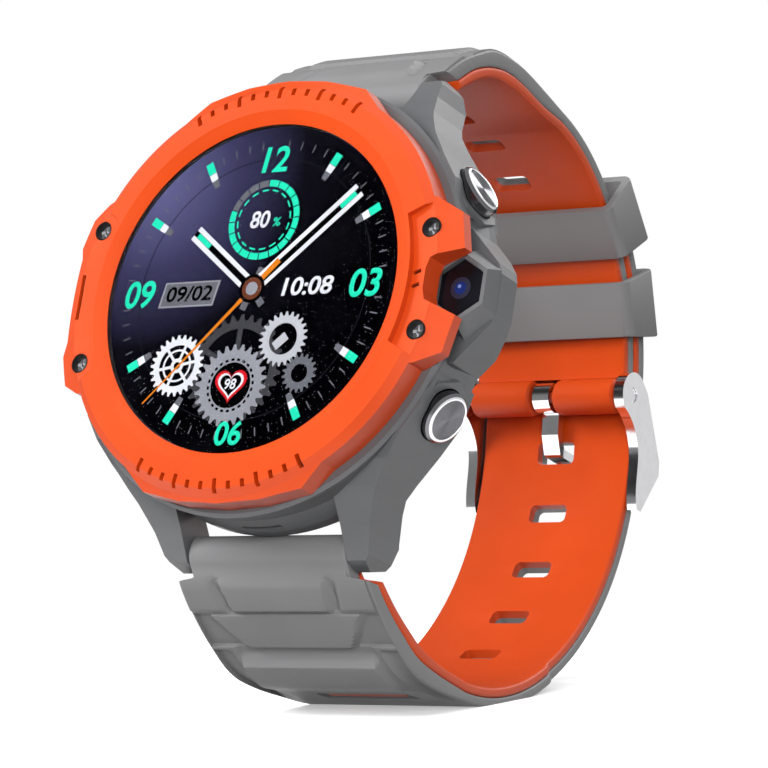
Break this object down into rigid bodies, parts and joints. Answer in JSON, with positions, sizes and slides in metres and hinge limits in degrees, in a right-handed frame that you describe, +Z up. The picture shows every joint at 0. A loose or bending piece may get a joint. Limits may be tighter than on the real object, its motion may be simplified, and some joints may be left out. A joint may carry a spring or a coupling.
{
  "type": "camera smartwatch",
  "caption": "Rugged round smartwatch with a side camera, radial push buttons and a buckled two-layer strap, closed.",
  "frame": {"origin": "centre of the small flat on the lowest part of the strap, on which the closed watch stands", "axes": "+X across the strap towards three o'clock (camera and buttons), +Z up; the dial looks along -Y tilted up by 20 degrees"},
  "size_m": [0.0568, 0.0819, 0.078],
  "materials": {
    "bezel_orange": "satin",
    "case_grey": "satin",
    "strap_grey": "matte",
    "strap_orange": "matte",
    "steel": "polished",
    "dark_steel": "brushed",
    "spring_steel": "satin",
    "cover": "polished",
    "display": "gloss",
    "black_rubber": "matte",
    "board": "satin",
    "chip": "matte",
    "cell": "satin",
    "black_plastic": "satin",
    "optic": "polished",
    "gold": "polished"
  },
  "bodies": {
    "watch": {"battery": "cell", "bezel": "bezel_orange", "bezel_screws": "steel", "buckle_bar": "steel", "camera_barrel": "black_plastic", "camera_board": "board", "camera_lens": "optic", "camera_window": "display", "case_back": "black_plastic", "case_back_gasket": "black_rubber", "case_back_screws": "steel", "case_body": "case_grey", "charging_contacts": "gold", "cover_glass": "cover", "display_panel": "display", "glass_gasket": "black_rubber", "inner_frame": "black_plastic", "loudspeaker": "black_plastic", "lower_button_guide": "spring_steel", "lower_button_spring": "spring_steel", "lower_button_switch": "black_plastic", "lug_bar_lower": "spring_steel", "lug_bar_upper": "spring_steel", "mainboard": "board", "mainboard_chips": "chip", "microphone": "spring_steel", "power_button_guide": "spring_steel", "power_button_spring": "spring_steel", "power_button_switch": "black_plastic", "sensor_board": "board", "sensor_window": "display", "strap_inlay": "strap_orange", "strap_lower_lining": "strap_orange", "strap_lower_shell": "strap_grey", "strap_upper_lining": "strap_orange", "strap_upper_shell": "strap_grey", "vibration_motor": "spring_steel"},
    "power_button": {"power_button": "dark_steel", "power_button_clip": "spring_steel"},
    "lower_button": {"lower_button": "dark_steel", "lower_button_clip": "spring_steel"},
    "bar_tip_upper_right": {"bar_tip_upper_right": "steel"},
    "bar_tip_upper_left": {"bar_tip_upper_left": "steel"},
    "bar_tip_lower_right": {"bar_tip_lower_right": "steel"},
    "bar_tip_lower_left": {"bar_tip_lower_left": "steel"},
    "keeper_upper": {"keeper_upper": "strap_grey"},
    "keeper_lower": {"keeper_lower": "strap_grey"},
    "buckle_frame": {"buckle_frame": "steel"},
    "buckle_tang": {"buckle_tang": "steel"}
  },
  "joints": [
    {"name": "power_button_push", "type": "slide", "parent": "watch", "child": "power_button", "axis": [-0.866, -0.171, -0.4698], "range_m": [0, 0.0005], "stiffness_N_per_m": 400, "springref_m": -0.001, "deforming": ["power_button_spring"]},
    {"name": "lower_button_push", "type": "slide", "parent": "watch", "child": "lower_button", "axis": [-0.866, 0.171, 0.4698], "range_m": [0, 0.0005], "stiffness_N_per_m": 400, "springref_m": -0.001, "deforming": ["lower_button_spring"]},
    {"name": "bar_tip_upper_right_retract", "type": "slide", "parent": "watch", "child": "bar_tip_upper_right", "axis": [-1, 0, 0], "range_m": [0, 0.0014], "stiffness_N_per_m": 300, "springref_m": -0.001},
    {"name": "bar_tip_upper_left_retract", "type": "slide", "parent": "watch", "child": "bar_tip_upper_left", "axis": [1, 0, 0], "range_m": [0, 0.0014], "stiffness_N_per_m": 300, "springref_m": -0.001},
    {"name": "bar_tip_lower_right_retract", "type": "slide", "parent": "watch", "child": "bar_tip_lower_right", "axis": [-1, 0, 0], "range_m": [0, 0.0014], "stiffness_N_per_m": 300, "springref_m": -0.001},
    {"name": "bar_tip_lower_left_retract", "type": "slide", "parent": "watch", "child": "bar_tip_lower_left", "axis": [1, 0, 0], "range_m": [0, 0.0014], "stiffness_N_per_m": 300, "springref_m": -0.001},
    {"name": "keeper_upper_slide", "type": "hinge", "parent": "watch", "child": "keeper_upper", "pos_m": [0, 0.0052, 0.04356], "axis": [1, 0, 0], "range_deg": [-2, 3]},
    {"name": "keeper_lower_slide", "type": "hinge", "parent": "watch", "child": "keeper_lower", "pos_m": [0, 0.0052, 0.04356], "axis": [1, 0, 0], "range_deg": [-3, 2]},
    {"name": "buckle_frame_pivot", "type": "hinge", "parent": "watch", "child": "buckle_frame", "pos_m": [0, 0.03219, 0.03586], "axis": [1, 0, 0], "range_deg": [0, 2.5]},
    {"name": "buckle_tang_pivot", "type": "hinge", "parent": "watch", "child": "buckle_tang", "pos_m": [0, 0.03219, 0.03586], "axis": [1, 0, 0], "range_deg": [0, 2.5]}
  ],
  "couplings": [
    {"joint": "buckle_tang_pivot", "follows": "buckle_frame_pivot", "ratio": 1}
  ]
}
